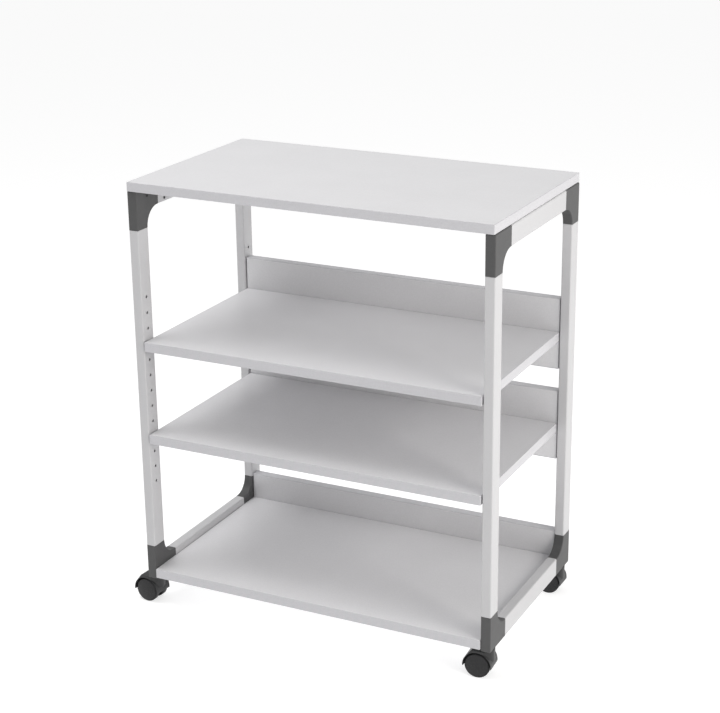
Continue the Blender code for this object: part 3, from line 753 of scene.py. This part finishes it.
def makeHood(corner, axes, trail, axleHeight):
    top = castor["hoodTop"]
    radius = castor["hoodRadius"]
    centre = (-trail, axleHeight)
    backTop = (-trail - castor["hoodTopBack"], top)
    away = math.dist(centre, backTop)
    facing = math.degrees(math.atan2(backTop[1] - centre[1], backTop[0] - centre[0]))
    touch = facing + math.degrees(math.acos(radius / away))
    noseRadius = castor["hoodWidth"] / 2 - restGap
    noseMiddle = castor["noseFront"] - noseRadius
    front = math.degrees(math.acos((noseMiddle + trail) / radius))
    steps = castor["arcSteps"]
    points = arcPoints(centre, radius, 180 - castor["backLip"], touch, steps // 2)
    points += [backTop, (noseMiddle, top)]
    points += arcPoints(centre, radius, front, castor["frontLip"], steps)
    points += [centre]
    shape = outlineShape(points, castor["hoodWidth"], castor["round"])
    upright = Matrix.Rotation(math.radians(90), 4, "X")
    bmesh.ops.transform(shape, matrix=upright, verts=shape.verts)
    hood = plainObject(f"{corner}_hood_shell", shape)

    depth = castor["noseDepth"]
    back = noseMiddle - castor["noseBack"]
    points = arcPoints((noseMiddle, 0), noseRadius, -90, 90, steps)
    points += [(back, noseRadius), (back, -noseRadius)]
    nose = outlineShape(points, depth, castor["round"], (steps, steps + 1, steps + 2))
    bmesh.ops.transform(nose, matrix=Matrix.Translation((0, 0, top - depth / 2)), verts=nose.verts)
    combined(hood, [plainObject("nose", nose)], "UNION")

    pocketRadius = radius - castor["hoodWall"]
    pocketDepth = castor["hoodWidth"] / 2 - castor["webThick"] / 2
    mouth = castor["mouthWidth"]
    profile = [
        (0, 0), (pocketRadius, 0), (pocketRadius, pocketDepth - castor["mouthDepth"]),
        (pocketRadius + mouth, pocketDepth), (pocketRadius + mouth, pocketDepth + mouth),
        (0, pocketDepth + mouth),
    ]
    cutters = []
    for side in (-1, 1):
        pocket = turnedShape(profile, castor["sides"])
        turn = besideWeb(trail, axleHeight, side, castor["webThick"] / 2)
        bmesh.ops.transform(pocket, matrix=turn, verts=pocket.verts)
        cutters.append(plainObject("pocket", pocket))
    across = boreShape(castor["axleBore"], castor["webThick"])
    turn = Matrix.Translation((-trail, 0, axleHeight)) @ upright
    bmesh.ops.transform(across, matrix=turn, verts=across.verts)
    upward = boreShape(castor["stemBore"], castor["stemDepth"])
    bmesh.ops.transform(upward, matrix=Matrix.Translation((0, 0, top)), verts=upward.verts)
    cutters += [plainObject("axle_bore", across), plainObject("stem_bore", upward)]
    combined(hood, cutters, "DIFFERENCE")
    hood.data.transform(axes)
    node = f"{corner}_castor_hood"
    finishPiece(hood, [finish["hoodNylon"]], f"{corner}_castor", [node])


def makeWheel(corner, letter, side, axes, trail, axleHeight):
    node = f"{corner}_castor_wheel_{letter}"
    width = castor["wheelWidth"]
    dome = castor["wheelDome"]
    shell = castor["shellDepth"]
    hub = castor["hubRadius"]
    bore = castor["axleBore"]
    radius = axleHeight
    rim = width - dome
    discRadius = radius - castor["treadDepth"]
    turn = besideWeb(trail, axleHeight, side, castor["webThick"] / 2 + castor["wheelGap"])

    profile = [(0, width)]
    for share in castor["domeShares"]:
        profile.append((discRadius * share, width - dome * share * share))
    lip = castor["coverLip"]
    profile += [
        (discRadius - lip, rim - lip), (discRadius, rim - castor["coverRound"]),
        (discRadius, shell), (hub, shell), (hub, 0), (bore, 0),
        (bore, castor["axleDepth"]), (0, castor["axleDepth"]),
    ]
    disc = turnedShape(profile, castor["sides"])
    bmesh.ops.transform(disc, matrix=axes @ turn, verts=disc.verts)
    cover = plainObject(f"{node}_disc", disc)
    finishPiece(cover, [finish["wheelNylon"]], f"{corner}_wheel_{letter}", [node])

    seat = discRadius + castor["treadGap"]
    cut = castor["treadChamfer"]
    soft = castor["treadRound"]
    steps = castor["treadSteps"]
    middle = rim / 2
    half = castor["grooveHalf"]
    section = [(seat, cut), (seat, rim - cut), (discRadius + cut, rim - castor["treadLip"])]
    section += arcPoints((radius - soft, rim - soft), soft, 80, 0, steps)
    groove = radius - castor["grooveDepth"]
    section += [(radius, middle + half), (groove, middle), (radius, middle - half)]
    section += arcPoints((radius - soft, soft), soft, 0, -90, steps)
    rings = []
    for a, b in section:
        ring = []
        for i in range(castor["sides"]):
            angle = 2 * math.pi * i / castor["sides"]
            ring.append(axes @ turn @ Vector((a * math.cos(angle), a * math.sin(angle), b)))
        rings.append(ring)
    tread = plainObject(f"{node}_tread", ringLoft(rings, closed=True))
    finishPiece(tread, [finish["treadNylon"]], f"{corner}_wheel_{letter}")


def makeAxle(corner, axes, trail, axleHeight):
    node = f"{corner}_castor_axle"
    half = castor["webThick"] / 2 + castor["axleInWheel"]
    radius = castor["axleRadius"]
    cut = castor["axleChamfer"]
    profile = [
        (0, half), (radius - cut, half), (radius, half - cut),
        (radius, -half + cut), (radius - cut, -half), (0, -half),
    ]
    rod = turnedShape(profile, castor["stemSides"])
    turn = Matrix.Translation((-trail, 0, axleHeight)) @ Matrix.Rotation(math.radians(90), 4, "X")
    bmesh.ops.transform(rod, matrix=axes @ turn, verts=rod.verts)
    axle = plainObject(f"{node}_rod", rod)
    finishPiece(axle, [finish["zincSteel"]], f"{corner}_castor", [node])


def makeStem(corner):
    node = f"{corner}_castor_stem"
    low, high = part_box(node)
    middle = (low + high) / 2
    collar = (high.x - low.x) / 2
    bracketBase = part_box(f"{corner}_lower_bracket")[0].z
    gapMiddle = (bracketBase + castor["hoodTop"]) / 2
    top = high.z - gapMiddle
    bottom = low.z - gapMiddle
    radius = castor["stemRadius"]
    cut = castor["stemChamfer"]
    half = castor["collarHalf"]
    soft = castor["collarRound"]
    profile = [
        (0, top), (radius - cut, top), (radius, top - cut), (radius, half),
        (collar - soft, half), (collar, half - soft), (collar, -half + soft), (collar - soft, -half),
        (radius, -half), (radius, bottom + cut), (radius - cut, bottom), (0, bottom),
    ]
    stem = plainObject(f"{node}_turned", turnedShape(profile, castor["stemSides"]))
    stem.data.transform(Matrix.Translation((middle.x, middle.y, gapMiddle)))
    # The stem's dark finish is partly painted shade: it darkens the gap between the hood and the
    # bracket, where shadow falls.
    finishPiece(stem, [finish["blackZincAndPaintedShade"]], "frame", [node])


for cornerName in corners:
    castorPlace, castorTrail, castorAxleHeight = castorAxes(cornerName)
    makeHood(cornerName, castorPlace, castorTrail, castorAxleHeight)
    makeAxle(cornerName, castorPlace, castorTrail, castorAxleHeight)
    makeStem(cornerName)
    makeWheel(cornerName, "a", -1, castorPlace, castorTrail, castorAxleHeight)
    makeWheel(cornerName, "b", 1, castorPlace, castorTrail, castorAxleHeight)
print("castors made")


# floor, light and camera

studio = {
    "floorColour": (0.55, 0.55, 0.55),
    "floorGlow": 0.66,
    "floorRoughness": 0.9,
    "floorSize": 40.0,
    "frontLight": 0.29,
    "backLight": 0.76,
    "backdrop": 1.0,
    "lightAim": (0, 0, 0.5),
    "softBoxes": {
        "right_soft_box": {
            "place": (2.7, -0.8, 1.45), "size": 1.4, "power": 39, "colour": (1.0, 0.975, 0.935),
        },
        "top_soft_box": {
            "place": (-1.1, -0.7, 3.4), "size": 1.5, "power": 43, "colour": (1.0, 1.0, 1.0),
        },
    },
    "sensorWidth": 36.0,
    "cameraPlace": (1.450031, -2.810032, 1.631588),
    "cameraTilt": 71.5366,
    "cameraTurn": 24.6131,
    "lens": 85.0276,
    "shiftX": -0.088676,
    "shiftY": -0.039143,
}


def makeFloor():
    shape = bmesh.new()
    bmesh.ops.create_grid(shape, x_segments=2, y_segments=2, size=studio["floorSize"] / 2)
    floor = plainObject("studio_floor", shape)
    floor.location.z = cadBox[0][2]
    material = bpy.data.materials.new("studioFloor")
    material.use_nodes = True
    shader = material.node_tree.nodes["Principled BSDF"]
    shader.inputs["Base Color"].default_value = (*studio["floorColour"], 1.0)
    shader.inputs["Roughness"].default_value = studio["floorRoughness"]
    shader.inputs["Specular IOR Level"].default_value = 0.0
    shader.inputs["Emission Color"].default_value = (1.0, 1.0, 1.0, 1.0)
    shader.inputs["Emission Strength"].default_value = studio["floorGlow"]
    floor.data.materials.append(material)


def makeWorld():
    # Plain white to look at, while the light it gives falls off towards the front.
    world = bpy.data.worlds.new("studioWorld")
    bpy.context.scene.world = world
    world.use_nodes = True
    nodes = world.node_tree.nodes
    links = world.node_tree.links
    backdrop = nodes["Background"]
    backdrop.inputs["Color"].default_value = (1.0, 1.0, 1.0, 1.0)
    backdrop.inputs["Strength"].default_value = studio["backdrop"]
    glow = nodes.new("ShaderNodeBackground")
    glow.inputs["Color"].default_value = (1.0, 1.0, 1.0, 1.0)
    direction = nodes.new("ShaderNodeTexCoord")
    parts = nodes.new("ShaderNodeSeparateXYZ")
    links.new(direction.outputs["Generated"], parts.inputs["Vector"])
    falloff = nodes.new("ShaderNodeMapRange")
    falloff.inputs["From Min"].default_value = -1.0
    falloff.inputs["From Max"].default_value = 1.0
    falloff.inputs["To Min"].default_value = studio["frontLight"]
    falloff.inputs["To Max"].default_value = studio["backLight"]
    links.new(parts.outputs["Y"], falloff.inputs["Value"])
    links.new(falloff.outputs["Result"], glow.inputs["Strength"])
    path = nodes.new("ShaderNodeLightPath")
    mix = nodes.new("ShaderNodeMixShader")
    links.new(path.outputs["Is Camera Ray"], mix.inputs["Fac"])
    links.new(glow.outputs["Background"], mix.inputs[1])
    links.new(backdrop.outputs["Background"], mix.inputs[2])
    links.new(mix.outputs["Shader"], nodes["World Output"].inputs["Surface"])


def makeSoftBox(name):
    box = studio["softBoxes"][name]
    data = bpy.data.lights.new(name, "AREA")
    data.shape = "RECTANGLE"
    data.size = box["size"]
    data.size_y = box["size"]
    data.energy = box["power"]
    data.color = box["colour"]
    light = bpy.data.objects.new(name, data)
    bpy.context.scene.collection.objects.link(light)
    light.location = box["place"]
    towards = Vector(studio["lightAim"]) - Vector(box["place"])
    light.rotation_euler = towards.to_track_quat("-Z", "Y").to_euler()


def makeCamera():
    data = bpy.data.cameras.new("camera")
    data.lens = studio["lens"]
    data.sensor_width = studio["sensorWidth"]
    data.shift_x = studio["shiftX"]
    data.shift_y = studio["shiftY"]
    camera = bpy.data.objects.new("camera", data)
    bpy.context.scene.collection.objects.link(camera)
    camera.location = studio["cameraPlace"]
    tilt = math.radians(studio["cameraTilt"])
    camera.rotation_euler = (tilt, 0, math.radians(studio["cameraTurn"]))
    bpy.context.scene.camera = camera


makeFloor()
makeWorld()
for boxName in studio["softBoxes"]:
    makeSoftBox(boxName)
makeCamera()
bpy.context.scene.view_settings.view_transform = "Standard"
print("studio made")
